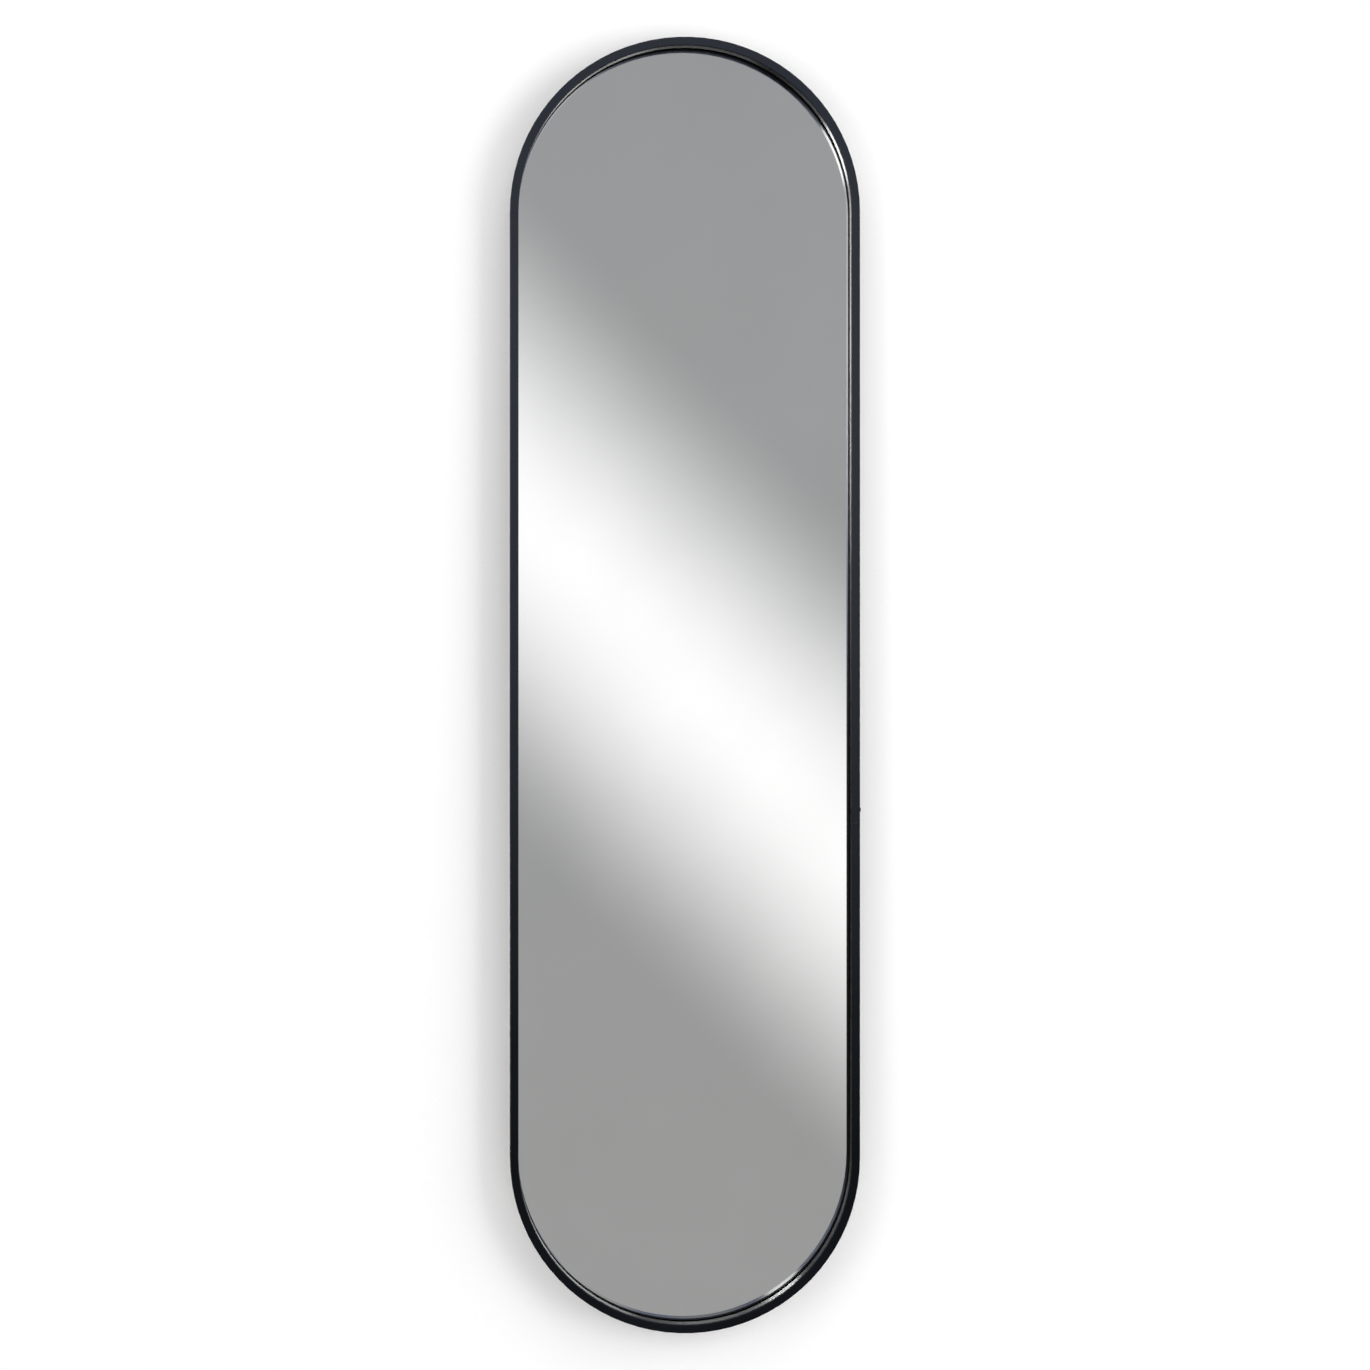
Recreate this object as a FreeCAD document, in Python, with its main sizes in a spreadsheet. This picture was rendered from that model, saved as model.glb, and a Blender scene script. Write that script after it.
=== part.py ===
# Pill-shaped wall mirror: a bent black frame, a mirror pane taped to a backing panel, turn buttons that
# hold the panel in the frame, two hanging rings and four wall bumpers.
# Millimetres. +X is right as seen from the front, +Y points into the wall, +Z is up.
# The origin is the middle of the outline, on the wall's surface.
import FreeCAD, Part
import math
import os
import Sketcher
from FreeCAD import Placement, Rotation, Vector

doc = FreeCAD.newDocument("wall_mirror")

# Driving dimensions
DIMENSIONS = {
    # outline seen from the front
    "mirror_width": 405.0,
    "mirror_height": 1500.0,
    # frame section: a hollow front box, and behind it a narrower hollow chamber that leaves a rebate
    "lip_width": 10.0,
    "lip_depth": 10.0,
    "rebate_width": 3.0,
    "profile_wall": 1.4,
    "outer_edge_radius": 0.5,
    "inner_edge_radius": 1.0,
    "rear_edge_radius": 0.5,
    # what lies in the rebate, from the lip to the wall
    "gasket_thickness": 3.0,
    "gasket_setback": 0.6,
    "glass_thickness": 4.0,
    "glass_arris": 0.5,
    "tape_thickness": 1.0,
    "panel_thickness": 5.0,
    "rebate_clearance": 0.5,
    # tape strips; an inset is measured in from the frame's outer face
    "tape_width": 25.0,
    "tape_inset": 92.5,
    "tape_end_margin": 50.0,
    # closing joint of the bent frame, on the right side
    "joint_screw_drop": 144.5,
    "joint_screw_offset": 15.0,
    "joint_gap": 0.15,
    "key_length": 60.0,
    "key_clearance": 0.1,
    "key_chamfer": 0.6,
    "joint_screw_diameter": 3.0,
    "joint_screw_length": 6.0,
    "joint_head_diameter": 5.6,
    "joint_head_height": 1.5,
    # fits
    "thread_clearance": 0.05,
    "hole_clearance": 0.15,
    "turning_clearance": 0.15,
    # turn buttons and their pivot screws
    "button_width": 6.4,
    "button_reach": 10.0,
    "button_thickness": 1.5,
    "button_edge_chamfer": 0.3,
    "button_drop": 350.0,
    "button_screw_diameter": 2.9,
    "button_screw_grip": 6.0,
    "button_head_diameter": 5.6,
    "button_head_height": 2.0,
    # hangers
    "hanger_inset": 82.5,
    "hanger_drop": 250.0,
    "strap_width": 11.0,
    "strap_thickness": 1.0,
    "strap_end_radius": 4.5,
    "ring_wire": 3.0,
    "ring_corner_radius": 3.5,
    "ring_side_play": 0.5,
    "ring_loop_room": 8.7,
    "eye_clearance": 0.2,
    "hanger_screw_diameter": 3.5,
    "hanger_screw_skin": 0.6,
    "hanger_head_diameter": 6.6,
    "hanger_head_height": 1.9,
    "hanger_head_room": 1.5,
    # wall bumpers
    "bumper_height": 6.0,
    "bumper_diameter": 12.0,
    "bumper_edge_radius": 1.2,
    "bumper_inset": 82.5,
    "bumper_drop": 200.0,
    # screw recesses and roundings
    "recess_arm_length": 1.6,
    "recess_arm_width": 0.4,
    "recess_depth": 1.0,
    "head_rounding": 1.2,
    "tip_rounding": 1.0,
}

SHEET = "Dimensions"
sheet = doc.addObject("Spreadsheet::Sheet", SHEET)
for row, (alias, number) in enumerate(DIMENSIONS.items(), start=1):
    sheet.set(f"A{row}", alias)
    sheet.set(f"B{row}", str(number))
    sheet.setAlias(f"B{row}", alias)
doc.recompute()


class Size:
    """A length as both its number and the sheet formula that gives it."""

    def __init__(self, number, formula):
        self.number = number
        self.formula = formula

    def __add__(self, other):
        other = as_size(other)
        return Size(self.number + other.number, f"({self.formula} + {other.formula})")

    def __sub__(self, other):
        other = as_size(other)
        return Size(self.number - other.number, f"({self.formula} - {other.formula})")

    def __mul__(self, factor):
        return Size(self.number * factor, f"({self.formula} * {factor})")

    def __truediv__(self, divisor):
        return Size(self.number / divisor, f"({self.formula} / {divisor})")

    def __neg__(self):
        return self * -1


def as_size(value):
    """Takes a plain number as a size too."""
    if isinstance(value, Size):
        return value
    return Size(value, str(value))


def dim(alias):
    """A driving dimension from the sheet."""
    return Size(float(sheet.get(alias)), f"{SHEET}.{alias}")


ZERO = as_size(0)
AXIS = Vector(0, 0, 1)
# The numbers that a sketch gives to the points of a line or arc, and to its own axes and origin
START, END, CENTRE = range(1, 4)
VERTICAL_AXIS, HORIZONTAL_AXIS = range(-2, 0)
ORIGIN = (HORIZONTAL_AXIS, START)

# Sizes worked out from the driving dimensions
end_radius = dim("mirror_width") / 2
straight = (dim("mirror_height") - dim("mirror_width")) / 2
half_height = dim("mirror_height") / 2
chamber_width = dim("lip_width") - dim("rebate_width")
seat_inset = chamber_width + dim("rebate_clearance")

# Distances out from the wall
panel_back = dim("bumper_height")
panel_front = panel_back + dim("panel_thickness")
glass_back = panel_front + dim("tape_thickness")
glass_front = glass_back + dim("glass_thickness")
lip_back = glass_front + dim("gasket_thickness")
frame_front = lip_back + dim("lip_depth")

# Closing joint
joint_screw_height = -dim("joint_screw_drop")
joint_height = joint_screw_height - dim("joint_screw_offset")
joint_axis_out = lip_back + dim("lip_depth") / 2

# Turn buttons
button_inset = chamber_width / 2
button_plane = panel_back - dim("turning_clearance")
button_head_plane = button_plane - dim("button_thickness") - dim("turning_clearance")
button_screw_length = panel_back - button_head_plane + dim("button_screw_grip")

# Hangers, measured down from the axis of the ring in its eye
wire_radius = dim("ring_wire") / 2
eye_bore = wire_radius + dim("eye_clearance")
eye_radius = eye_bore + dim("strap_thickness")
head_radius = dim("hanger_head_diameter") / 2
upper_screw = eye_radius + head_radius + dim("hanger_head_room")
loop_end = upper_screw + head_radius + dim("ring_loop_room")
ring_end = loop_end + dim("ring_wire")
lower_screw = ring_end + head_radius + dim("hanger_head_room")
strap_end = lower_screw + dim("strap_width") / 2
half_bar = dim("strap_width") / 2 + dim("ring_side_play")
ring_half_width = half_bar + dim("ring_corner_radius")
hanger_height = half_height - dim("hanger_drop")
hanger_axis_out = panel_back - eye_radius
hanger_screw_grip = dim("panel_thickness") - dim("hanger_screw_skin")
hanger_screw_length = dim("strap_thickness") + hanger_screw_grip
bumper_place = half_height - dim("bumper_drop")


def bind(sketch, kind, where, size):
    """Adds one dimension to a sketch and ties it to the sheet."""
    index = sketch.addConstraint(Sketcher.Constraint(kind, *where, size.number))
    sketch.setExpression(f"Constraints[{index}]", size.formula)


def tie(sketch, kind, *where):
    """Adds a geometric constraint."""
    sketch.addConstraint(Sketcher.Constraint(kind, *where))


def new_body(label):
    body = doc.addObject("PartDesign::Body", label)
    body.Label = label
    return body


def sketch_on(body, name, role, offset=ZERO):
    """A sketch on one of the body's own origin planes, moved along the plane's normal."""
    sketch = body.newObject("Sketcher::SketchObject", f"{body.Name}_{name}")
    plane = next(f for f in body.Origin.OriginFeatures if f.Role == role)
    sketch.AttachmentSupport = [(plane, "")]
    sketch.MapMode = "FlatFace"
    sketch.setExpression("AttachmentOffset.Base.z", offset.formula)
    return sketch


def feature(body, kind, name, sketch, length=None):
    """A PartDesign feature made from a sketch, with its length tied to the sheet."""
    made = body.newObject(f"PartDesign::{kind}", f"{body.Name}_{name}")
    made.Profile = sketch
    if length is not None:
        made.setExpression("Length", length.formula)
    sketch.Visibility = False
    return made


def dress(body, kind, name, edges, property_name, size):
    """A chamfer or fillet on named edges of the body as it stands."""
    base = body.Tip
    made = body.newObject(f"PartDesign::{kind}", f"{body.Name}_{name}")
    made.Base = (base, edges)
    made.setExpression(property_name, size.formula)


def place(item, x, y, z, rotation=Rotation()):
    """Sets a sub-part's place, tied to the sheet, and its turn."""
    item.Placement = Placement(Vector(x.number, y.number, z.number), rotation)
    item.setExpression("Placement.Base.x", x.formula)
    item.setExpression("Placement.Base.y", y.formula)
    item.setExpression("Placement.Base.z", z.formula)


def circle(sketch, x, y, radius):
    """A circle placed from the sketch's origin."""
    made = sketch.addGeometry(Part.Circle(Vector(x.number, y.number, 0), AXIS, radius.number))
    bind(sketch, "Radius", (made,), radius)
    for size, kind, axis in ((x, "DistanceX", VERTICAL_AXIS), (y, "DistanceY", HORIZONTAL_AXIS)):
        if size is ZERO:
            tie(sketch, "PointOnObject", made, CENTRE, axis)
        else:
            bind(sketch, kind, (*ORIGIN, made, CENTRE), size)


def stepped_outline(sketch, sides, roundings=None):
    """A closed outline whose sides lie in turn along x and y, each side given as ("x" or "y", where it lies).

    A rounding, by the number of the side before its corner, makes that corner a tangent arc.
    """
    roundings = roundings or {}
    count = len(sides)
    corners = []
    for i, (axis, size) in enumerate(sides):
        after = sides[(i + 1) % count][1].number
        corners.append(Vector(size.number, after, 0) if axis == "x" else Vector(after, size.number, 0))
    lines = []
    for i in range(count):
        lines.append(sketch.addGeometry(Part.LineSegment(corners[i - 1], corners[i])))
    for i, (axis, size) in enumerate(sides):
        tie(sketch, "Vertical" if axis == "x" else "Horizontal", lines[i])
        if i not in roundings:
            tie(sketch, "Coincident", lines[i], END, lines[(i + 1) % count], START)
    for i, radius in roundings.items():
        into = (corners[i] - corners[i - 1]).normalize()
        out = (corners[(i + 1) % count] - corners[i]).normalize()
        reach = radius.number
        first = corners[i] - into * reach
        last = corners[i] + out * reach
        middle = corners[i] + (out - into) * reach * (1 - math.sqrt(0.5))
        arc = sketch.addGeometry(Part.Arc(first, middle, last))
        counter_clockwise = into.x * out.y - into.y * out.x > 0
        near, far = (START, END) if counter_clockwise else (END, START)
        tie(sketch, "Tangent", lines[i], END, arc, near)
        tie(sketch, "Tangent", lines[(i + 1) % count], START, arc, far)
        bind(sketch, "Radius", (arc,), radius)
    for i, (axis, size) in enumerate(sides):
        if size is ZERO:
            tie(sketch, "PointOnObject", lines[i], START, VERTICAL_AXIS if axis == "x" else HORIZONTAL_AXIS)
        else:
            bind(sketch, "DistanceX" if axis == "x" else "DistanceY", (*ORIGIN, lines[i], START), size)


def pill(sketch, radius, low, high):
    """Two half circles about points on the vertical axis, at low and high, joined by straight sides."""
    r = radius.number
    bottom, top = low.number, high.number
    arc_top = sketch.addGeometry(Part.ArcOfCircle(Part.Circle(Vector(0, top, 0), AXIS, r), 0, math.pi))
    left = sketch.addGeometry(Part.LineSegment(Vector(-r, top, 0), Vector(-r, bottom, 0)))
    lower = Part.Circle(Vector(0, bottom, 0), AXIS, r)
    arc_low = sketch.addGeometry(Part.ArcOfCircle(lower, math.pi, 2 * math.pi))
    right = sketch.addGeometry(Part.LineSegment(Vector(r, bottom, 0), Vector(r, top, 0)))
    run = (arc_top, left, arc_low, right)
    for i, item in enumerate(run):
        tie(sketch, "Tangent", item, END, run[(i + 1) % len(run)], START)
    tie(sketch, "Equal", arc_top, arc_low)
    bind(sketch, "Radius", (arc_top,), radius)
    for arc, size in ((arc_top, high), (arc_low, low)):
        tie(sketch, "PointOnObject", arc, CENTRE, VERTICAL_AXIS)
        if size is ZERO:
            tie(sketch, "PointOnObject", arc, CENTRE, HORIZONTAL_AXIS)
        else:
            bind(sketch, "DistanceY", (*ORIGIN, arc, CENTRE), size)


def pill_at_inset(sketch, inset):
    """The mirror's outline, drawn in by an inset from the frame's outer face."""
    pill(sketch, end_radius - inset, -straight, straight)


def button_places():
    """Name, x, z and turn of each turn button: three down each side, one at the top and one at the bottom."""
    side = end_radius - button_inset
    end = half_height - button_inset
    row = half_height - dim("button_drop")
    return [
        ("turn_button_top", ZERO, end, 180),
        ("turn_button_left_upper", -side, row, 90),
        ("turn_button_left_middle", -side, ZERO, 90),
        ("turn_button_left_lower", -side, -row, 90),
        ("turn_button_bottom", ZERO, -end, 0),
        ("turn_button_right_lower", side, -row, -90),
        ("turn_button_right_middle", side, ZERO, -90),
        ("turn_button_right_upper", side, row, -90),
    ]


def hanger_sides():
    """Name and x of the two hangers."""
    side = end_radius - dim("hanger_inset")
    return [("left", -side), ("right", side)]


def make_frame():
    """The bent profile, open by a hair at its closing joint."""
    body = new_body("frame_profile")
    half_gap = dim("joint_gap") / 2
    joint_top = joint_height + half_gap
    joint_low = joint_height - half_gap
    bend = sketch_on(body, "bend_line", "XZ_Plane")
    r, s = end_radius.number, straight.number
    upper = Part.Circle(Vector(0, s, 0), AXIS, r)
    lower = Part.Circle(Vector(0, -s, 0), AXIS, r)
    run = [
        bend.addGeometry(Part.LineSegment(Vector(r, joint_top.number, 0), Vector(r, s, 0))),
        bend.addGeometry(Part.ArcOfCircle(upper, 0, math.pi)),
        bend.addGeometry(Part.LineSegment(Vector(-r, s, 0), Vector(-r, -s, 0))),
        bend.addGeometry(Part.ArcOfCircle(lower, math.pi, 2 * math.pi)),
        bend.addGeometry(Part.LineSegment(Vector(r, -s, 0), Vector(r, joint_low.number, 0))),
    ]
    for first, second in zip(run, run[1:]):
        tie(bend, "Tangent", first, END, second, START)
    tie(bend, "Vertical", run[0])
    tie(bend, "Vertical", run[-1])
    tie(bend, "Equal", run[1], run[3])
    bind(bend, "Radius", (run[1],), end_radius)
    for arc, size in ((run[1], straight), (run[3], -straight)):
        tie(bend, "PointOnObject", arc, CENTRE, VERTICAL_AXIS)
        bind(bend, "DistanceY", (*ORIGIN, arc, CENTRE), size)
    bind(bend, "DistanceY", (*ORIGIN, run[0], START), joint_top)
    bind(bend, "DistanceY", (*ORIGIN, run[-1], END), joint_low)

    section = sketch_on(body, "section", "XY_Plane", joint_top)
    wall = dim("profile_wall")
    outer = end_radius
    lip = outer - dim("lip_width")
    chamber = outer - chamber_width
    outline = [
        ("x", outer),
        ("y", -frame_front),
        ("x", lip),
        ("y", -lip_back),
        ("x", chamber),
        ("y", -panel_back),
    ]
    soft = {0: dim("outer_edge_radius"), 1: dim("inner_edge_radius"), 5: dim("rear_edge_radius")}
    stepped_outline(section, outline, soft)
    front_hollow = [
        ("x", outer - wall),
        ("y", wall - frame_front),
        ("x", lip + wall),
        ("y", -lip_back - wall),
    ]
    stepped_outline(section, front_hollow)
    rear_hollow = [
        ("x", outer - wall),
        ("y", -lip_back),
        ("x", chamber + wall),
        ("y", -panel_back - wall),
    ]
    stepped_outline(section, rear_hollow)
    doc.recompute()
    sweep = feature(body, "AdditivePipe", "sweep", section)
    sweep.Spine = (bend, [f"Edge{i + 1}" for i in range(len(run))])
    sweep.Mode = "Frenet"
    bend.Visibility = False

    pilots = sketch_on(body, "button_pilots", "XZ_Plane", panel_back + dim("button_screw_grip"))
    pilot_radius = dim("button_screw_diameter") / 2 + dim("thread_clearance")
    for _, x, z, _ in button_places():
        circle(pilots, x, z, pilot_radius)
    feature(body, "Pocket", "pilot_holes", pilots, dim("button_screw_grip"))

    entry = sketch_on(body, "joint_hole", "YZ_Plane", outer - wall)
    entry_radius = dim("joint_screw_diameter") / 2 + dim("hole_clearance")
    circle(entry, -joint_axis_out, joint_screw_height, entry_radius)
    drilled = feature(body, "Pocket", "joint_screw_hole", entry, wall)
    drilled.Reversed = True


def make_joint_key():
    """A bar that fills the front hollow on both sides of the closing joint, tapped for the joint screw."""
    body = new_body("joint_key")
    room = dim("profile_wall") + dim("key_clearance")
    foot = joint_height - dim("key_length") / 2
    section = sketch_on(body, "section", "XY_Plane", foot)
    sides = [
        ("x", end_radius - room),
        ("y", room - frame_front),
        ("x", end_radius - dim("lip_width") + room),
        ("y", -lip_back - room),
    ]
    stepped_outline(section, sides)
    feature(body, "Pad", "bar", section, dim("key_length"))
    doc.recompute()
    ends = (foot.number, foot.number + dim("key_length").number)
    dress(body, "Chamfer", "lead_in", flat_edges(body.Shape, "z", ends), "Size", dim("key_chamfer"))
    tapped = sketch_on(body, "tapped_hole", "YZ_Plane", end_radius - dim("lip_width"))
    tapped_radius = dim("joint_screw_diameter") / 2 + dim("thread_clearance")
    circle(tapped, -joint_axis_out, joint_screw_height, tapped_radius)
    hole = feature(body, "Pocket", "tapping", tapped, dim("lip_width"))
    hole.Reversed = True


def flat_edges(shape, axis, levels, tolerance=1e-4):
    """Names of the edges that lie wholly at one of the levels along an axis."""
    names = []
    for number, edge in enumerate(shape.Edges, start=1):
        box = edge.BoundBox
        low, high = getattr(box, f"{axis.upper()}Min"), getattr(box, f"{axis.upper()}Max")
        if any(abs(low - level) < tolerance and abs(high - level) < tolerance for level in levels):
            names.append(f"Edge{number}")
    return names


def make_screw(label, diameter, length, head_diameter, head_height):
    """A round-headed screw with a cross recess; its head seats at the origin and its shank points along -Y."""
    body = new_body(label)
    profile = sketch_on(body, "profile", "XY_Plane")
    sides = [
        ("x", ZERO),
        ("y", -length),
        ("x", diameter / 2),
        ("y", ZERO),
        ("x", head_diameter / 2),
        ("y", head_height),
    ]
    stepped_outline(profile, sides, {1: dim("tip_rounding"), 4: dim("head_rounding")})
    turned = feature(body, "Revolution", "turned", profile)
    turned.ReferenceAxis = (profile, ["V_Axis"])
    turned.Angle = 360
    recess = sketch_on(body, "recess", "XZ_Plane", dim("recess_depth") - head_height)
    arm, half = dim("recess_arm_length"), dim("recess_arm_width")
    cross = [
        ("x", arm),
        ("y", half),
        ("x", half),
        ("y", arm),
        ("x", -half),
        ("y", half),
        ("x", -arm),
        ("y", -half),
        ("x", -half),
        ("y", -arm),
        ("x", half),
        ("y", -half),
    ]
    stepped_outline(recess, cross)
    feature(body, "Pocket", "driver_recess", recess, dim("recess_depth"))
    return body


def make_joint_screw():
    body = make_screw(
        "joint_screw",
        dim("joint_screw_diameter"),
        dim("joint_screw_length"),
        dim("joint_head_diameter"),
        dim("joint_head_height"),
    )
    place(body, end_radius, -joint_axis_out, joint_screw_height, Rotation(AXIS, -90))


def make_gasket():
    """A thin soft ring between the lip and the glass."""
    body = new_body("glazing_gasket")
    ring = sketch_on(body, "ring", "XZ_Plane", glass_front)
    pill_at_inset(ring, seat_inset)
    pill_at_inset(ring, dim("lip_width") - dim("gasket_setback"))
    feature(body, "Pad", "strip", ring, dim("gasket_thickness"))


def make_glass():
    """The mirror pane, silvered behind, with ground edges."""
    body = new_body("mirror_glass")
    outline = sketch_on(body, "outline", "XZ_Plane", glass_back)
    pill_at_inset(outline, seat_inset)
    feature(body, "Pad", "pane", outline, dim("glass_thickness"))
    doc.recompute()
    rims = flat_edges(body.Shape, "y", (-glass_back.number, -glass_front.number))
    dress(body, "Chamfer", "arris", rims, "Size", dim("glass_arris"))


def make_tape():
    """Three upright strips of double-sided tape between the pane and the panel."""
    length = (straight - dim("tape_end_margin")) * 2
    pitch = end_radius - dim("tape_inset")
    for name, step in (("left", -1), ("centre", 0), ("right", 1)):
        strip = doc.addObject("Part::Box", f"tape_strip_{name}")
        strip.Label = f"tape_strip_{name}"
        strip.setExpression("Length", dim("tape_width").formula)
        strip.setExpression("Width", dim("tape_thickness").formula)
        strip.setExpression("Height", length.formula)
        place(strip, pitch * step - dim("tape_width") / 2, -glass_back, -length / 2)


def make_panel():
    """The backing panel, drilled for the hanger screws."""
    body = new_body("back_panel")
    outline = sketch_on(body, "outline", "XZ_Plane", panel_back)
    pill_at_inset(outline, seat_inset)
    feature(body, "Pad", "board", outline, dim("panel_thickness"))
    pilots = sketch_on(body, "hanger_pilots", "XZ_Plane", panel_back + hanger_screw_grip)
    pilot_radius = dim("hanger_screw_diameter") / 2 + dim("thread_clearance")
    for _, x in hanger_sides():
        for drop in (upper_screw, lower_screw):
            circle(pilots, x, hanger_height - drop, pilot_radius)
    feature(body, "Pocket", "pilot_holes", pilots, hanger_screw_grip)


def make_turn_buttons():
    """Flat tongues that turn about a screw in the frame and reach over the panel's edge."""
    for label, x, z, turn in button_places():
        body = new_body(label)
        tongue = sketch_on(body, "tongue", "XZ_Plane")
        pill(tongue, dim("button_width") / 2, ZERO, dim("button_reach"))
        circle(tongue, ZERO, ZERO, dim("button_screw_diameter") / 2 + dim("hole_clearance"))
        plate = feature(body, "Pad", "plate", tongue, dim("button_thickness"))
        plate.Reversed = True
        doc.recompute()
        rim = flat_edges(body.Shape, "y", (dim("button_thickness").number,))
        dress(body, "Chamfer", "rim", rim, "Size", dim("button_edge_chamfer"))
        place(body, x, -button_plane, z, Rotation(Vector(0, 1, 0), turn))


def make_group(label, master, places):
    """Copies of one screw, each a solid of its own, kept together as one sub-part."""
    copies = []
    for number, (x, y, z) in enumerate(places, start=1):
        copy = doc.addObject("App::Link", f"{label}_{number}")
        copy.LinkedObject = master
        place(copy, x, y, z)
        copies.append(copy)
    group = doc.addObject("Part::Compound", label)
    group.Label = label
    group.Links = copies


def make_button_screws():
    master = make_screw(
        "button_screw_pattern",
        dim("button_screw_diameter"),
        button_screw_length,
        dim("button_head_diameter"),
        dim("button_head_height"),
    )
    places = [(x, -button_head_plane, z) for _, x, z, _ in button_places()]
    make_group("turn_button_screws", master, places)


def make_hanger_straps():
    """A steel strap rolled into an eye round the ring's bar; its frame sits on the ring's axis."""
    for side, x in hanger_sides():
        body = new_body(f"hanger_strap_{side}")
        profile = sketch_on(body, "profile", "YZ_Plane")
        back = -eye_radius
        face = back + dim("strap_thickness")
        slope = math.acos(-face.number / eye_radius.number)
        meet = eye_radius.number * math.sin(slope)
        corners = [
            Vector(back.number, 0, 0),
            Vector(back.number, -strap_end.number, 0),
            Vector(face.number, -strap_end.number, 0),
            Vector(face.number, -meet, 0),
        ]
        lines = [profile.addGeometry(Part.LineSegment(a, b)) for a, b in zip(corners, corners[1:])]
        roll = Part.Circle(Vector(0, 0, 0), AXIS, eye_radius.number)
        eye = profile.addGeometry(Part.ArcOfCircle(roll, math.pi + slope, 3 * math.pi))
        for first, second in zip(lines, lines[1:]):
            tie(profile, "Coincident", first, END, second, START)
        tie(profile, "Coincident", eye, CENTRE, *ORIGIN)
        tie(profile, "Coincident", lines[2], END, eye, START)
        tie(profile, "Tangent", eye, END, lines[0], START)
        tie(profile, "Horizontal", lines[1])
        tie(profile, "Vertical", lines[0])
        tie(profile, "Vertical", lines[2])
        bind(profile, "Radius", (eye,), eye_radius)
        bind(profile, "DistanceY", (*ORIGIN, lines[1], START), -strap_end)
        bind(profile, "DistanceX", (*ORIGIN, lines[1], END), face)
        circle(profile, ZERO, ZERO, eye_bore)
        strip = feature(body, "Pad", "strip", profile, dim("strap_width"))
        strip.Midplane = True
        holes = sketch_on(body, "screw_holes", "XZ_Plane", -face)
        for drop in (upper_screw, lower_screw):
            circle(holes, ZERO, -drop, dim("hanger_screw_diameter") / 2 + dim("hole_clearance"))
        drilled = feature(body, "Pocket", "drilling", holes, dim("strap_thickness"))
        drilled.Reversed = True
        doc.recompute()
        half = dim("strap_width").number / 2
        across = flat_edges(body.Shape, "z", (-strap_end.number,))
        thin = [n for n in flat_edges(body.Shape, "x", (-half, half)) if n in across]
        dress(body, "Fillet", "rounded_end", thin, "Radius", dim("strap_end_radius"))
        place(body, x, -hanger_axis_out, hanger_height)


def make_hanger_rings():
    """A bent wire ring with a straight bar through the eye; at rest it hangs down over the strap."""
    for side, x in hanger_sides():
        body = new_body(f"hanger_ring_{side}")
        path = sketch_on(body, "bend_line", "XZ_Plane")
        corner = dim("ring_corner_radius")
        bend_low = loop_end + wire_radius - ring_half_width
        b, c, w, low = half_bar.number, corner.number, ring_half_width.number, bend_low.number
        right_bend = Part.Circle(Vector(b, -c, 0), AXIS, c)
        left_bend = Part.Circle(Vector(-b, -c, 0), AXIS, c)
        end_bend = Part.Circle(Vector(0, -low, 0), AXIS, w)
        pieces = [
            Part.LineSegment(Vector(0, 0, 0), Vector(-b, 0, 0)),
            Part.ArcOfCircle(left_bend, math.pi / 2, math.pi),
            Part.LineSegment(Vector(-w, -c, 0), Vector(-w, -low, 0)),
            Part.ArcOfCircle(end_bend, math.pi, 2 * math.pi),
            Part.LineSegment(Vector(w, -low, 0), Vector(w, -c, 0)),
            Part.ArcOfCircle(right_bend, 0, math.pi / 2),
            Part.LineSegment(Vector(b, 0, 0), Vector(0, 0, 0)),
        ]
        run = [path.addGeometry(piece) for piece in pieces]
        for first, second in zip(run, run[1:]):
            tie(path, "Tangent", first, END, second, START)
        tie(path, "Coincident", run[0], START, *ORIGIN)
        tie(path, "Coincident", run[-1], END, *ORIGIN)
        tie(path, "Horizontal", run[0])
        tie(path, "Horizontal", run[-1])
        bind(path, "DistanceX", (*ORIGIN, run[0], END), -half_bar)
        bind(path, "DistanceX", (*ORIGIN, run[-1], START), half_bar)
        bind(path, "Radius", (run[1],), corner)
        tie(path, "Equal", run[1], run[5])
        tie(path, "Vertical", run[2])
        tie(path, "Vertical", run[4])
        bind(path, "DistanceY", (*ORIGIN, run[3], CENTRE), -bend_low)
        wire = sketch_on(body, "wire", "YZ_Plane")
        circle(wire, ZERO, ZERO, wire_radius)
        doc.recompute()
        bent = feature(body, "AdditivePipe", "bent_wire", wire)
        bent.Spine = (path, [f"Edge{i + 1}" for i in range(len(run))])
        bent.Mode = "Frenet"
        path.Visibility = False
        place(body, x, -hanger_axis_out, hanger_height)


def make_hanger_screws():
    master = make_screw(
        "hanger_screw_pattern",
        dim("hanger_screw_diameter"),
        hanger_screw_length,
        dim("hanger_head_diameter"),
        dim("hanger_head_height"),
    )
    seat = panel_back - dim("strap_thickness")
    places = []
    for _, x in hanger_sides():
        for drop in (upper_screw, lower_screw):
            places.append((x, -seat, hanger_height - drop))
    make_group("hanger_screws", master, places)


def make_bumpers():
    """Round rubber feet on the panel that meet the wall."""
    side = end_radius - dim("bumper_inset")
    corners = [
        ("wall_bumper_upper_left", -side, bumper_place),
        ("wall_bumper_upper_right", side, bumper_place),
        ("wall_bumper_lower_left", -side, -bumper_place),
        ("wall_bumper_lower_right", side, -bumper_place),
    ]
    for label, x, z in corners:
        body = new_body(label)
        profile = sketch_on(body, "profile", "XY_Plane")
        sides = [
            ("x", ZERO),
            ("y", -dim("bumper_height")),
            ("x", dim("bumper_diameter") / 2),
            ("y", ZERO),
        ]
        stepped_outline(profile, sides, {2: dim("bumper_edge_radius")})
        foot = feature(body, "Revolution", "foot", profile)
        foot.ReferenceAxis = (profile, ["V_Axis"])
        foot.Angle = 360
        place(body, x, ZERO, z)


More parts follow.
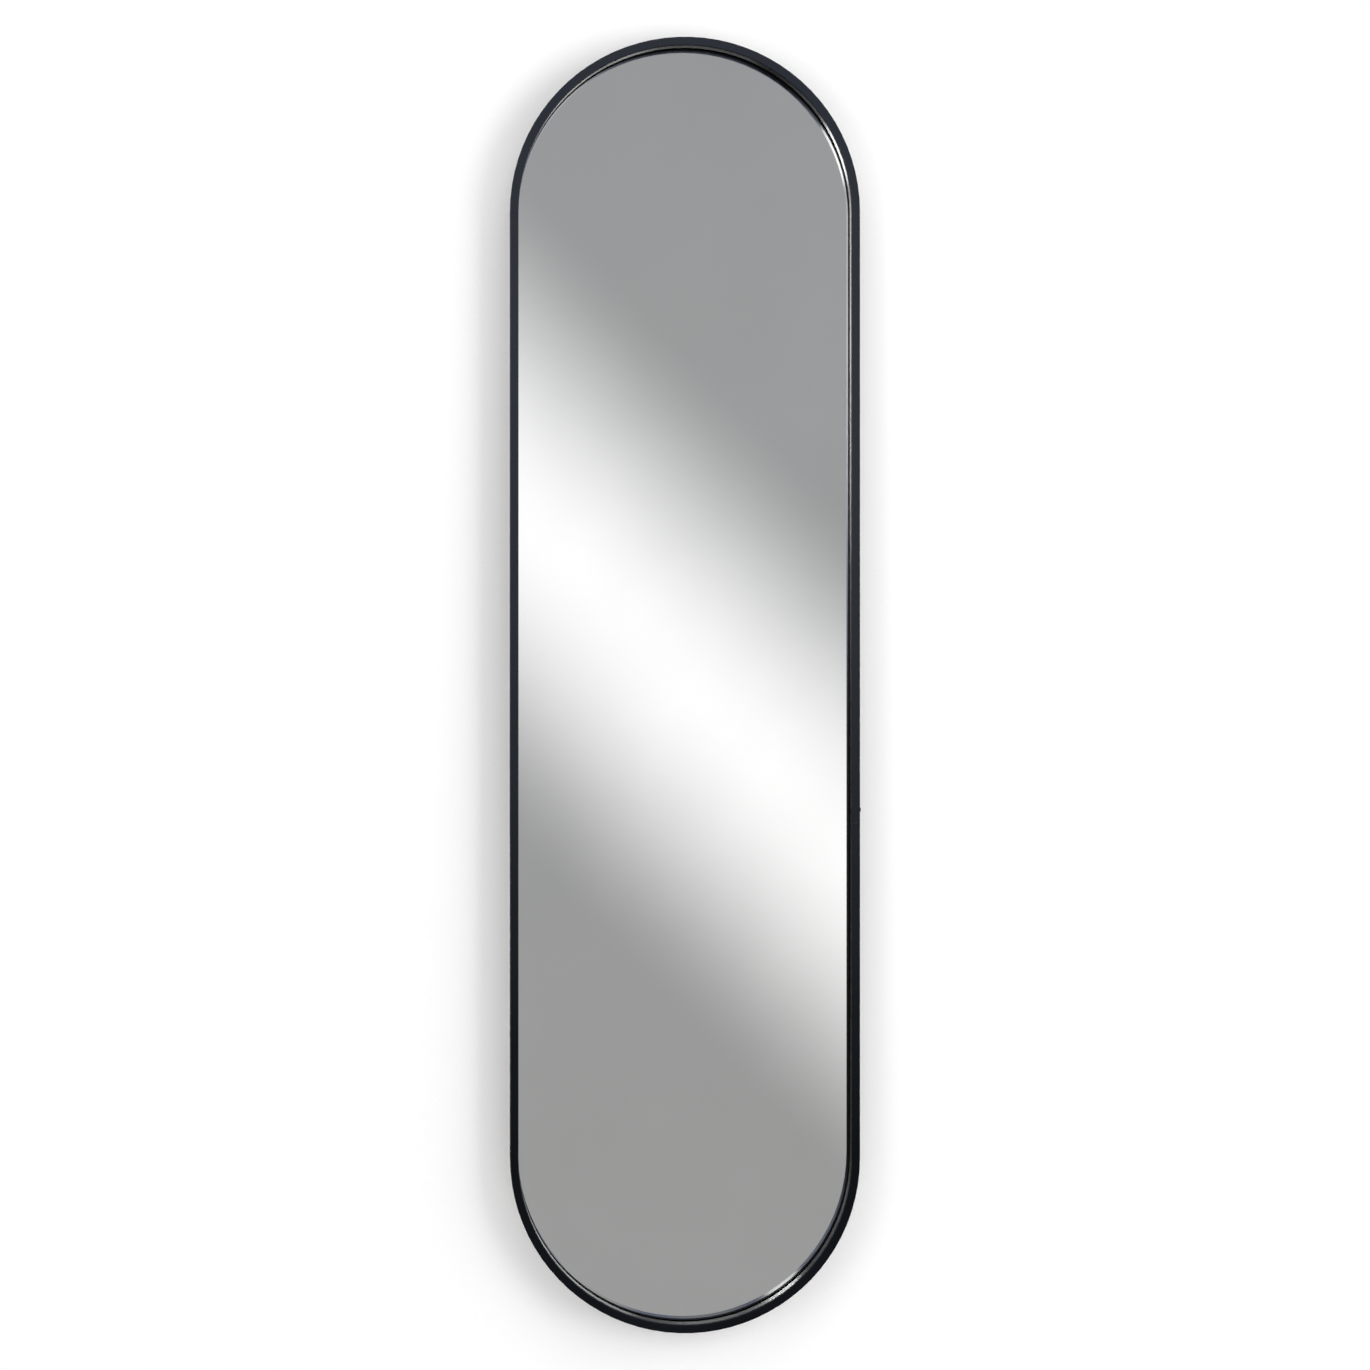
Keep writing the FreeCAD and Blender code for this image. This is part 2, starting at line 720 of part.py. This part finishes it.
def check_document():
    """Stops if any object failed to build."""
    for item in doc.Objects:
        bad = [state for state in item.State if state in ("Invalid", "Error")]
        if bad:
            raise RuntimeError(f"{item.Label} is {bad}")


def sub_parts():
    """The objects that are sub-parts: bodies, boxes and groups, without the screws that groups are copied from."""
    kinds = ("PartDesign::Body", "Part::Box", "Part::Compound")
    return [o for o in doc.Objects if o.TypeId in kinds and not o.Label.endswith("_pattern")]


make_frame()
make_joint_key()
make_joint_screw()
make_gasket()
make_glass()
make_tape()
make_panel()
make_turn_buttons()
make_button_screws()
make_hanger_straps()
make_hanger_rings()
make_hanger_screws()
make_bumpers()
doc.recompute()
check_document()

os.makedirs("parts", exist_ok=True)
for item in sub_parts():
    if item.Shape.isNull() or not item.Shape.isValid():
        raise RuntimeError(f"{item.Label} has no valid shape")
for item in sub_parts():
    item.Shape.exportStep(f"parts/{item.Label}.step")
    print(item.Label, len(item.Shape.Solids), round(item.Shape.Volume, 1))
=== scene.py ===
# Pill-shaped wall mirror: looks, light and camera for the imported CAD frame.
# Metres. +X is right as seen from the front, +Y points into the wall and +Z is up.
# The bumpers meet the wall at Y = 0.
import bpy
import math
import numpy as np
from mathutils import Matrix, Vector


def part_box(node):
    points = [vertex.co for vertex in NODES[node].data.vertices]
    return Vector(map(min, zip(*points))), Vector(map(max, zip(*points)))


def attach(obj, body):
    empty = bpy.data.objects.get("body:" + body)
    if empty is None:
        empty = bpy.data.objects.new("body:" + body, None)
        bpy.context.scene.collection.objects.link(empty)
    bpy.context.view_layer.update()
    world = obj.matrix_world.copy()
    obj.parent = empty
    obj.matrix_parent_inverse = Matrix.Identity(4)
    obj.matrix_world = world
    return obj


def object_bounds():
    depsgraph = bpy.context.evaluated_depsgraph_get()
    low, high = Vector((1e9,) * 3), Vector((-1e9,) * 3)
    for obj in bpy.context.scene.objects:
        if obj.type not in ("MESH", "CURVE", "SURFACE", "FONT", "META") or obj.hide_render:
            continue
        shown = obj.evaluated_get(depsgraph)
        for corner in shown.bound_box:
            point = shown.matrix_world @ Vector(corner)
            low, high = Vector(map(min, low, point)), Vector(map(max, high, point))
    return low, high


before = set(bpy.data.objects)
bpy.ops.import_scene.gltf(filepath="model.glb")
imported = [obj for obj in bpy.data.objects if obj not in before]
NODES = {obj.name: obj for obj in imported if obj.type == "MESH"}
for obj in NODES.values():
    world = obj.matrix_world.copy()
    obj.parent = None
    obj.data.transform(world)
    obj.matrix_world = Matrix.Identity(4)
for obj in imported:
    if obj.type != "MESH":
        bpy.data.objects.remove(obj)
cad_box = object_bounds()
MM = 0.001
# A mix node's sockets for colours, which share their names with its other sockets
MIX_FIRST = 6
MIX_SECOND = 7
MIX_RESULT = 2


# Helpers

def linear(code):
    """An sRGB hex colour as linear red, green and blue, with an alpha of 1."""
    parts = np.array([int(code[i:i + 2], 16) for i in (1, 3, 5)]) / 255
    low = parts / 12.92
    high = ((parts + 0.055) / 1.055) ** 2.4
    return (*np.where(parts <= 0.04045, low, high), 1)


def add(tree, kind, inputs=None, **settings):
    """Adds a node, sets its properties, and sets or links its inputs, given by name or by number."""
    made = tree.nodes.new(kind)
    for name, value in settings.items():
        setattr(made, name, value)
    for name, value in (inputs or {}).items():
        if isinstance(value, bpy.types.NodeSocket):
            tree.links.new(value, made.inputs[name])
        else:
            made.inputs[name].default_value = value
    return made


def new_material(name):
    """An empty node material and its output."""
    made = bpy.data.materials.new(name)
    made.use_nodes = True
    made.node_tree.nodes.clear()
    output = add(made.node_tree, "ShaderNodeOutputMaterial")
    return made, made.node_tree, output


def grey(level):
    """A neutral linear colour."""
    return (level, level, level, 1)


def per_metre(millimetres):
    """A noise or cell scale whose features are about this many millimetres across."""
    return 1 / (millimetres * MM)


def noise(tree, place, millimetres, detail, **more):
    """Noise from 0 to 1 whose features are about this many millimetres across."""
    made = add(tree, "ShaderNodeTexNoise", {
        "Vector": place, "Scale": per_metre(millimetres), "Detail": detail, **more})
    return made.outputs["Fac"]


def ramp(tree, value, stops):
    """A colour for a number from 0 to 1, by stops of a position and an sRGB hex colour."""
    made = add(tree, "ShaderNodeValToRGB", {"Fac": value})
    elements = made.color_ramp.elements
    while len(elements) < len(stops):
        elements.new(1)
    for element, (position, code) in zip(elements, stops):
        element.position = position
        element.color = linear(code)
    return made.outputs["Color"]


def spread(tree, value, low, high):
    """A number from 0 to 1, spread between two others."""
    made = add(tree, "ShaderNodeMapRange", {"Value": value, "To Min": low, "To Max": high})
    return made.outputs["Result"]


def relief(tree, value, strength, depth):
    """A bumped normal, from a number from 0 to 1 that stands for this depth."""
    made = add(tree, "ShaderNodeBump", {"Height": value, "Strength": strength, "Distance": depth})
    return made.outputs["Normal"]


def blend(tree, factor, first, second, kind="MIX"):
    """Two colours, mixed: the first alone where the factor is 0."""
    made = add(tree, "ShaderNodeMix", {
        "Factor": factor, MIX_FIRST: first, MIX_SECOND: second}, data_type="RGBA", blend_type=kind)
    return made.outputs[MIX_RESULT]


def from_oval(tree, vector, centre, half_width, half_height):
    """How far a point or a direction is from the centre of an oval that faces along Y.

    It is 1 on the oval's edge.
    """
    placed = add(tree, "ShaderNodeMapping", {
        "Vector": vector,
        "Location": centre,
        "Scale": (half_width, 1.0, half_height),
    }, vector_type="TEXTURE")
    reach = add(tree, "ShaderNodeVectorMath", {0: placed.outputs["Vector"]}, operation="LENGTH")
    return reach.outputs["Value"]


def smooth_rise(tree, value, start, end):
    """A smooth rise from 0 at the start to 1 at the end, which may be the smaller number."""
    rising = add(tree, "ShaderNodeMapRange", {
        "Value": value, "From Min": start, "From Max": end}, interpolation_type="SMOOTHSTEP")
    return rising.outputs["Result"]


def prism(name, outline, front, back):
    """A closed plate between two depths along Y, from an outline of (x, z) points.

    The outline runs counter-clockwise as seen from the front. The first half of the points lies at the
    front depth and the second half at the back. One polygon closes each end, and a quad joins each pair
    of neighbours.
    """
    count = len(outline)
    points = np.zeros((2 * count, 3))
    points[:, [0, 2]] = np.concatenate([outline, outline])
    points[:count, 1] = front
    points[count:, 1] = back
    here = np.arange(count)
    after = np.roll(here, -1)
    sides = np.stack([here, here + count, after + count, after], axis=1)
    faces = [here.tolist(), (here[::-1] + count).tolist(), *sides.tolist()]
    mesh = bpy.data.meshes.new(name)
    mesh.from_pydata(points.tolist(), [], faces)
    made = bpy.data.objects.new(name, mesh)
    bpy.context.scene.collection.objects.link(made)
    return made


def pill_outline(radius, straight, steps=96):
    """Points of a pill, counter-clockwise: half circles about (0, straight) and (0, -straight)."""
    turn = np.linspace(0, math.pi, steps + 1)
    half = np.stack([radius * np.cos(turn), radius * np.sin(turn) + straight], axis=1)
    return np.concatenate([half, -half])


def sheet(name, corners):
    """A flat stage face from four corners."""
    mesh = bpy.data.meshes.new(name)
    mesh.from_pydata(corners, [], [(0, 1, 2, 3)])
    made = bpy.data.objects.new(name, mesh)
    bpy.context.scene.collection.objects.link(made)
    return made


# Materials

def satin_black_coat():
    """Powder-coated aluminium: polyester baked to a satin skin, faintly pebbled."""
    made, tree, output = new_material("satin_black_coat")
    place = add(tree, "ShaderNodeTexCoord").outputs["Object"]
    # The real pebble is about 0.4 mm; it is drawn at 1.5 mm so that it shows at the render's scale
    pebble = noise(tree, place, 1.5, detail=2.0)
    # Film thickness drifts over a hand's width
    drift = noise(tree, place, 90, detail=3.0)
    tint = ramp(tree, drift, [(0.3, "#07080b"), (0.7, "#0b0d11")])
    gloss = spread(tree, pebble, 0.12, 0.17)
    bump = relief(tree, pebble, strength=0.06, depth=0.1 * MM)
    coat = add(tree, "ShaderNodeBsdfPrincipled", {
        "Base Color": tint,
        "Roughness": gloss,
        "Normal": bump,
    })
    tree.links.new(coat.outputs["BSDF"], output.inputs["Surface"])
    return made


def float_glass():
    """Clear float glass: fire-polished and even, with the faint green of its iron."""
    made, tree, output = new_material("float_glass")
    place = add(tree, "ShaderNodeTexCoord").outputs["Object"]
    # Slow waves of the draw, a few hundred millimetres apart
    draw = noise(tree, place, 300, detail=1.0)
    tint = ramp(tree, draw, [(0.3, "#fbfcfb"), (0.7, "#fdfdfd")])
    glass = add(tree, "ShaderNodeBsdfPrincipled", {
        "Base Color": tint,
        "Roughness": 0.0,
        "IOR": 1.52,
        "Transmission Weight": 1.0,
    })
    tree.links.new(glass.outputs["BSDF"], output.inputs["Surface"])
    return made


def mirror_silver():
    """Chemically deposited silver on the back of the glass: a neutral, even mirror."""
    made, tree, output = new_material("mirror_silver")
    place = add(tree, "ShaderNodeTexCoord").outputs["Object"]
    # The deposit varies slightly over a hand's width
    cloud = noise(tree, place, 120, detail=2.0)
    tint = ramp(tree, cloud, [(0.3, "#f6f6f5"), (0.7, "#f9f9f8")])
    silver = add(tree, "ShaderNodeBsdfPrincipled", {
        "Base Color": tint,
        "Metallic": 1.0,
        "Roughness": 0.0,
    })
    tree.links.new(silver.outputs["BSDF"], output.inputs["Surface"])
    return made


def moulded_rubber():
    """Moulded black rubber: dull, with a fine grain and a little bloom."""
    made, tree, output = new_material("moulded_rubber")
    place = add(tree, "ShaderNodeTexCoord").outputs["Object"]
    # The real grain is about 0.2 mm; it is drawn at 0.8 mm so that it shows
    grain = noise(tree, place, 0.8, detail=4.0)
    bloom = noise(tree, place, 5, detail=2.0)
    tint = ramp(tree, bloom, [(0.3, "#0b0b0c"), (0.75, "#151617")])
    gloss = spread(tree, grain, 0.6, 0.9)
    bump = relief(tree, grain, strength=0.25, depth=0.1 * MM)
    rubber = add(tree, "ShaderNodeBsdfPrincipled", {
        "Base Color": tint,
        "Roughness": gloss,
        "Normal": bump,
        "Specular IOR Level": 0.2,
    })
    tree.links.new(rubber.outputs["BSDF"], output.inputs["Surface"])
    return made


def foam_tape():
    """Acrylic foam mounting tape: grey, with small closed cells."""
    made, tree, output = new_material("foam_tape")
    place = add(tree, "ShaderNodeTexCoord").outputs["Object"]
    # Foam cells about half a millimetre across
    cells = add(tree, "ShaderNodeTexVoronoi", {"Vector": place, "Scale": per_metre(0.5)})
    tint = ramp(tree, cells.outputs["Distance"], [(0.1, "#85888b"), (0.6, "#9a9d9f")])
    bump = relief(tree, cells.outputs["Distance"], strength=0.3, depth=0.1 * MM)
    foam = add(tree, "ShaderNodeBsdfPrincipled", {
        "Base Color": tint,
        "Roughness": 0.8,
        "Normal": bump,
    })
    tree.links.new(foam.outputs["BSDF"], output.inputs["Surface"])
    return made


def raw_fibreboard():
    """Raw medium-density fibreboard: pressed and sanded, tan with small flecks and slow clouds."""
    made, tree, output = new_material("raw_fibreboard")
    place = add(tree, "ShaderNodeTexCoord").outputs["Object"]
    # Felted fibres lie any way in the board's plane. Real ones are about 0.1 by 2 mm; they are drawn as
    # swirled flecks about 2 by 5 mm so that they show
    fibres = noise(tree, place, 5, detail=5.0, Roughness=0.75, Distortion=1.1)
    # Pressing leaves clouds a hand's width across
    clouds = noise(tree, place, 110, detail=3.0)
    # Dark bark flecks, drawn larger than they are, in cells about 7 mm across
    flecks = add(tree, "ShaderNodeTexVoronoi", {"Vector": place, "Scale": per_metre(7)})
    body = ramp(tree, fibres, [(0.3, "#957959"), (0.5, "#a68966"), (0.7, "#b79b79")])
    cloud = ramp(tree, clouds, [(0.3, "#efe9e0"), (0.7, "#ffffff")])
    clouded = blend(tree, 1.0, body, cloud, "MULTIPLY")
    fleck = ramp(tree, flecks.outputs["Distance"], [(0.05, "#8f7250"), (0.16, "#ffffff")])
    tint = blend(tree, 0.4, clouded, fleck, "MULTIPLY")
    bump = relief(tree, fibres, strength=0.15, depth=0.2 * MM)
    board = add(tree, "ShaderNodeBsdfPrincipled", {
        "Base Color": tint,
        "Roughness": 0.82,
        "Specular IOR Level": 0.3,
        "Normal": bump,
    })
    tree.links.new(board.outputs["BSDF"], output.inputs["Surface"])
    return made


def zinc_plated_steel():
    """Blue-passivated zinc on pressed steel: pale, cool and softly clouded, with fine drawing marks."""
    made, tree, output = new_material("zinc_plated_steel")
    place = add(tree, "ShaderNodeTexCoord").outputs["Object"]
    # Plating clouds a few millimetres across
    clouds = noise(tree, place, 4, detail=4.0)
    # Drawing marks about 0.1 mm wide; they are drawn at 0.4 mm, eight times as long, so that they show
    drawn = add(tree, "ShaderNodeMapping", {"Vector": place, "Scale": (1.0, 1.0, 0.12)})
    marks = noise(tree, drawn.outputs["Vector"], 0.4, detail=2.0)
    tint = ramp(tree, clouds, [(0.3, "#a9aeb4"), (0.7, "#c9cdd1")])
    gloss = spread(tree, marks, 0.24, 0.44)
    bump = relief(tree, marks, strength=0.08, depth=0.05 * MM)
    zinc = add(tree, "ShaderNodeBsdfPrincipled", {
        "Base Color": tint,
        "Metallic": 1.0,
        "Roughness": gloss,
        "Normal": bump,
    })
    tree.links.new(zinc.outputs["BSDF"], output.inputs["Surface"])
    return made


def mill_aluminium():
    """Sawn extruded aluminium, uncoated: pale, with die lines along its length."""
    made, tree, output = new_material("mill_aluminium")
    place = add(tree, "ShaderNodeTexCoord").outputs["Object"]
    # Die lines about 0.3 mm apart, drawn along Z
    along = add(tree, "ShaderNodeMapping", {"Vector": place, "Scale": (1.0, 1.0, 0.02)})
    lines = noise(tree, along.outputs["Vector"], 0.3, detail=2.0)
    tint = ramp(tree, lines, [(0.3, "#b4b6b8"), (0.7, "#d0d2d3")])
    gloss = spread(tree, lines, 0.3, 0.5)
    metal = add(tree, "ShaderNodeBsdfPrincipled", {
        "Base Color": tint,
        "Metallic": 1.0,
        "Roughness": gloss,
    })
    tree.links.new(metal.outputs["BSDF"], output.inputs["Surface"])
    return made


FINISHES = {
    ("frame_profile", "joint_screw"): satin_black_coat(),
    ("mirror_glass",): float_glass(),
    ("glazing_gasket", "wall_bumper"): moulded_rubber(),
    ("tape_strip",): foam_tape(),
    ("back_panel",): raw_fibreboard(),
    ("turn_button", "hanger"): zinc_plated_steel(),
    ("joint_key",): mill_aluminium(),
}
for starts, finish in FINISHES.items():
    for name, item in NODES.items():
        if name.startswith(starts):
            item.data.materials.clear()
            item.data.materials.append(finish)


# Silver layer: a thin plate just inside the back of the pane, drawn in from the ground edge

SILVER_DEPTH = 0.05 * MM
SILVER_THICKNESS = 0.03 * MM
SILVER_INSET = 0.6 * MM

glass_low, glass_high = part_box("mirror_glass")
silver_radius = (glass_high.x - glass_low.x) / 2 - SILVER_INSET
silver_straight = (glass_high.z - glass_low.z) / 2 - SILVER_INSET - silver_radius
silver_back = glass_high.y - SILVER_DEPTH
silver_layer = prism(
    "silver_layer",
    pill_outline(silver_radius, silver_straight),
    silver_back - SILVER_THICKNESS,
    silver_back,
)
silver_layer.data.materials.append(mirror_silver())
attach(silver_layer, "mirror")


# Stage: a white wall, seen only from the front, and a white floor, seen only from above

WALL_BEHIND = 0.5 * MM
WALL_HALF_WIDTH = 3.5
WALL_HALF_HEIGHT = 3.0
# The mirror's middle hangs at eye height above the floor
FLOOR_HEIGHT = -1.6
FLOOR_REACH = 3.5
# The painted part round the mirror, which keeps the shadow; the camera sees plain white beyond it
PAINTED_HALF_WIDTH = 1.0
PAINTED_HALF_HEIGHT = 1.6
# It starts to turn plain white at this share of its reach
PAINT_FADE_START = 0.6


def white_paint():
    """Matt white paint. Rays from behind pass, so that the part can be seen from the back."""
    made, tree, output = new_material("white_paint")
    place = add(tree, "ShaderNodeTexCoord").outputs["Object"]
    # Roller marks about 3 mm across, hardly darker than the paint between them
    marks = noise(tree, place, 3, detail=2.0)
    tint = ramp(tree, marks, [(0.3, "#fdfdfd"), (0.7, "#ffffff")])
    paint = add(tree, "ShaderNodeBsdfDiffuse", {"Color": tint})
    reach = from_oval(tree, place, (0, 0, 0), PAINTED_HALF_WIDTH, PAINTED_HALF_HEIGHT)
    fade = smooth_rise(tree, reach, PAINT_FADE_START, 1.0)
    camera_ray = add(tree, "ShaderNodeLightPath").outputs["Is Camera Ray"]
    far = add(tree, "ShaderNodeMath", {0: fade, 1: camera_ray}, operation="MULTIPLY")
    white = add(tree, "ShaderNodeEmission", {"Color": grey(1)})
    front = add(tree, "ShaderNodeMixShader", {
        0: far.outputs["Value"], 1: paint.outputs["BSDF"], 2: white.outputs["Emission"]})
    clear = add(tree, "ShaderNodeBsdfTransparent")
    side = add(tree, "ShaderNodeNewGeometry").outputs["Backfacing"]
    surface = add(tree, "ShaderNodeMixShader", {
        0: side, 1: front.outputs["Shader"], 2: clear.outputs["BSDF"]})
    tree.links.new(surface.outputs["Shader"], output.inputs["Surface"])
    return made


wall = sheet("wall", [
    (-WALL_HALF_WIDTH, WALL_BEHIND, -WALL_HALF_HEIGHT),
    (WALL_HALF_WIDTH, WALL_BEHIND, -WALL_HALF_HEIGHT),
    (WALL_HALF_WIDTH, WALL_BEHIND, WALL_HALF_HEIGHT),
    (-WALL_HALF_WIDTH, WALL_BEHIND, WALL_HALF_HEIGHT),
])
floor = sheet("floor", [
    (-FLOOR_REACH, -FLOOR_REACH, FLOOR_HEIGHT),
    (FLOOR_REACH, -FLOOR_REACH, FLOOR_HEIGHT),
    (FLOOR_REACH, FLOOR_REACH, FLOOR_HEIGHT),
    (-FLOOR_REACH, FLOOR_REACH, FLOOR_HEIGHT),
])
stage_paint = white_paint()
for face in (wall, floor):
    face.data.materials.append(stage_paint)
    face.visible_diffuse = False
    face.visible_glossy = False
    face.visible_transmission = False
    face.visible_shadow = False


# Lamps: two tall soft boxes beside the wall, the right one stronger, a wide one above, a weaker one
# below, and one low on the left behind the wall for the part's back

def soft_box(name, place, wide, tall, watts):
    """A rectangular lamp that faces the middle of the part."""
    data = bpy.data.lights.new(name, "AREA")
    data.shape = "RECTANGLE"
    data.size = wide
    data.size_y = tall
    data.energy = watts
    made = bpy.data.objects.new(name, data)
    made.location = place
    made.rotation_euler = (-Vector(place)).to_track_quat("-Z", "Y").to_euler()
    made.visible_camera = False
    made.visible_transmission = False
    bpy.context.scene.collection.objects.link(made)
    return made


front_lamps = [
    soft_box("side_lamp_right", (2.1, -1.25, 0.25), wide=1.4, tall=2.6, watts=46),
    soft_box("side_lamp_left", (-2.1, -1.25, 0.15), wide=1.4, tall=2.6, watts=23),
    soft_box("top_lamp", (0.0, -0.9, 2.5), wide=2.2, tall=0.7, watts=22),
    soft_box("low_lamp", (0.0, -0.9, -2.5), wide=2.2, tall=0.7, watts=16),
]
# Their hard edges would show in the mirror
for lamp in front_lamps:
    lamp.visible_glossy = False
soft_box("back_lamp", (-1.5, 2.2, -1.4), wide=2.0, tall=2.0, watts=100)


# Card: a soft white oval high on the left behind the camera. The frame's inner wall shows it at the
# upper right

CARD_MIDDLE = (-1.64, -6.0, 0.95)
CARD_HALF_WIDTH = 0.50
CARD_HALF_HEIGHT = 0.60
CARD_LIGHT = 5.3
# Share of the oval that has the full light
CARD_CORE = 0.8


def soft_card():
    """Paper lit from behind, clear round its soft edge."""
    made, tree, output = new_material("soft_card")
    place = add(tree, "ShaderNodeTexCoord").outputs["Object"]
    reach = from_oval(tree, place, CARD_MIDDLE, CARD_HALF_WIDTH, CARD_HALF_HEIGHT)
    inside = smooth_rise(tree, reach, 1.0, CARD_CORE)
    clear = add(tree, "ShaderNodeBsdfTransparent")
    glow = add(tree, "ShaderNodeEmission", {"Strength": CARD_LIGHT})
    surface = add(tree, "ShaderNodeMixShader", {
        0: inside, 1: clear.outputs["BSDF"], 2: glow.outputs["Emission"]})
    tree.links.new(surface.outputs["Shader"], output.inputs["Surface"])
    return made


card_x, card_y, card_z = CARD_MIDDLE
front_card = sheet("front_card", [
    (card_x - CARD_HALF_WIDTH, card_y, card_z - CARD_HALF_HEIGHT),
    (card_x + CARD_HALF_WIDTH, card_y, card_z - CARD_HALF_HEIGHT),
    (card_x + CARD_HALF_WIDTH, card_y, card_z + CARD_HALF_HEIGHT),
    (card_x - CARD_HALF_WIDTH, card_y, card_z + CARD_HALF_HEIGHT),
])
front_card.data.materials.append(soft_card())
front_card.visible_camera = False
front_card.visible_diffuse = False
front_card.visible_shadow = False


# World: white behind everything, a low even fill, and the pale studio that the mirror shows

FILL = 0.43
STUDIO_GREY_LOW = 0.37
STUDIO_GREY_HIGH = 0.33
STUDIO_WHITE = 1.11
BAND_MIDDLE = 0.0897
BAND_HALF_WIDTH = 0.17
# The studio changes between these heights of a direction
ROOM_LOW = -0.3
ROOM_HIGH = 0.3
# Soft oval cards in the studio: slope to the right, slope upwards, half width, half height and light.
# From the photograph's place the mirror shows none of them, but the frame's inner wall does.
# The last two stand for the side lamps, which the mirror doesn't show
CARDS = [
    (-0.17, -0.14, 0.12, 0.22, 0.01),
    (-0.19, 0.21, 0.10, 0.10, 1.5),
    (0.05, 0.47, 0.40, 0.17, 1.3),
    (0.37, 0.10, 0.16, 0.30, 1.2),
    (-1.5, -0.2, 0.75, 1.0, 1.0),
    (1.5, -0.2, 0.75, 1.0, 1.0),
]
# Share of each of these ovals that has its full light
SOFT_CORE = 0.5


def studio():
    """The world, which gives the camera, the mirror, shiny faces and all else a light of their own."""
    world = bpy.data.worlds.new("studio")
    world.use_nodes = True
    tree = world.node_tree
    tree.nodes.clear()
    path = add(tree, "ShaderNodeLightPath")
    direction = add(tree, "ShaderNodeTexCoord").outputs["Generated"]
    parts = add(tree, "ShaderNodeSeparateXYZ", {"Vector": direction})
    height = parts.outputs["Z"]
    # In the mirror: grey, with one soft white band that falls to the right at 45 degrees
    off_band = add(tree, "ShaderNodeVectorMath", {
        0: direction, 1: (1.0, BAND_MIDDLE, 1.0)}, operation="DOT_PRODUCT")
    distance = add(tree, "ShaderNodeMath", {0: off_band.outputs["Value"]}, operation="ABSOLUTE")
    ground = add(tree, "ShaderNodeMapRange", {
        "Value": height, "From Min": ROOM_LOW, "From Max": ROOM_HIGH,
        "To Min": STUDIO_GREY_LOW, "To Max": STUDIO_GREY_HIGH})
    band = add(tree, "ShaderNodeMapRange", {
        "Value": distance.outputs["Value"], "From Min": 0.0, "From Max": BAND_HALF_WIDTH,
        "To Min": STUDIO_WHITE, "To Max": ground.outputs["Result"]}, interpolation_type="SMOOTHSTEP")
    in_mirror = band.outputs["Result"]
    # On the coat and the metal: a cool room, light above the eye line, dark below it, paler at its foot
    rise = add(tree, "ShaderNodeMapRange", {
        "Value": height, "From Min": ROOM_LOW, "From Max": ROOM_HIGH})
    on_coat = ramp(tree, rise.outputs["Result"], [
        (0.0, "#595d67"),
        (0.1, "#33373d"),
        (0.5, "#bfc9dd"),
        (0.8, "#dde7fc"),
        (1.0, "#a9bade"),
    ])
    # A direction's slopes are its X and Z for each metre that it leaves the wall
    away = add(tree, "ShaderNodeMath", {0: parts.outputs["Y"]}, operation="ABSOLUTE")
    each = add(tree, "ShaderNodeMath", {0: 1.0, 1: away.outputs["Value"]}, operation="DIVIDE")
    slopes = add(tree, "ShaderNodeVectorMath", {
        0: direction, "Scale": each.outputs["Value"]}, operation="SCALE")
    for across, up, half_width, half_height, light in CARDS:
        reach = from_oval(tree, slopes.outputs["Vector"], (across, -1.0, up), half_width, half_height)
        weight = smooth_rise(tree, reach, 1.0, SOFT_CORE)
        in_mirror = blend(tree, weight, in_mirror, grey(light))
        on_coat = blend(tree, weight, on_coat, grey(light))
    shiny = blend(tree, path.outputs["Is Glossy Ray"], grey(FILL), on_coat)
    mirrored = blend(tree, path.outputs["Is Transmission Ray"], shiny, in_mirror)
    seen = blend(tree, path.outputs["Is Camera Ray"], mirrored, grey(1))
    backdrop = add(tree, "ShaderNodeBackground", {"Color": seen})
    add(tree, "ShaderNodeOutputWorld", {"Surface": backdrop.outputs["Background"]})
    return world


bpy.context.scene.world = studio()


# Camera: square to the wall, left of the mirror and a little above its middle, framed by its shift

EYE_ACROSS = -0.25
EYE_UP = 0.045
# In front of the frame's face
EYE_AWAY = 2.3
# The mirror's height in the photograph and the photograph's own, in pixels
MIRROR_PIXELS = 1296.66
IMAGE_PIXELS = 1370
SENSOR = 36.0

mirror_height = cad_box[1][2] - cad_box[0][2]
view_width = mirror_height * IMAGE_PIXELS / MIRROR_PIXELS
camera_data = bpy.data.cameras.new("camera")
camera_data.sensor_fit = "HORIZONTAL"
camera_data.sensor_width = SENSOR
camera_data.lens = SENSOR * EYE_AWAY / view_width
camera_data.shift_x = -EYE_ACROSS / view_width
camera_data.shift_y = -EYE_UP / view_width
camera = bpy.data.objects.new("camera", camera_data)
camera.location = (EYE_ACROSS, cad_box[0][1] - EYE_AWAY, EYE_UP)
camera.rotation_euler = (math.pi / 2, 0, 0)
bpy.context.scene.collection.objects.link(camera)
bpy.context.scene.camera = camera

bpy.context.scene.view_settings.view_transform = "Standard"
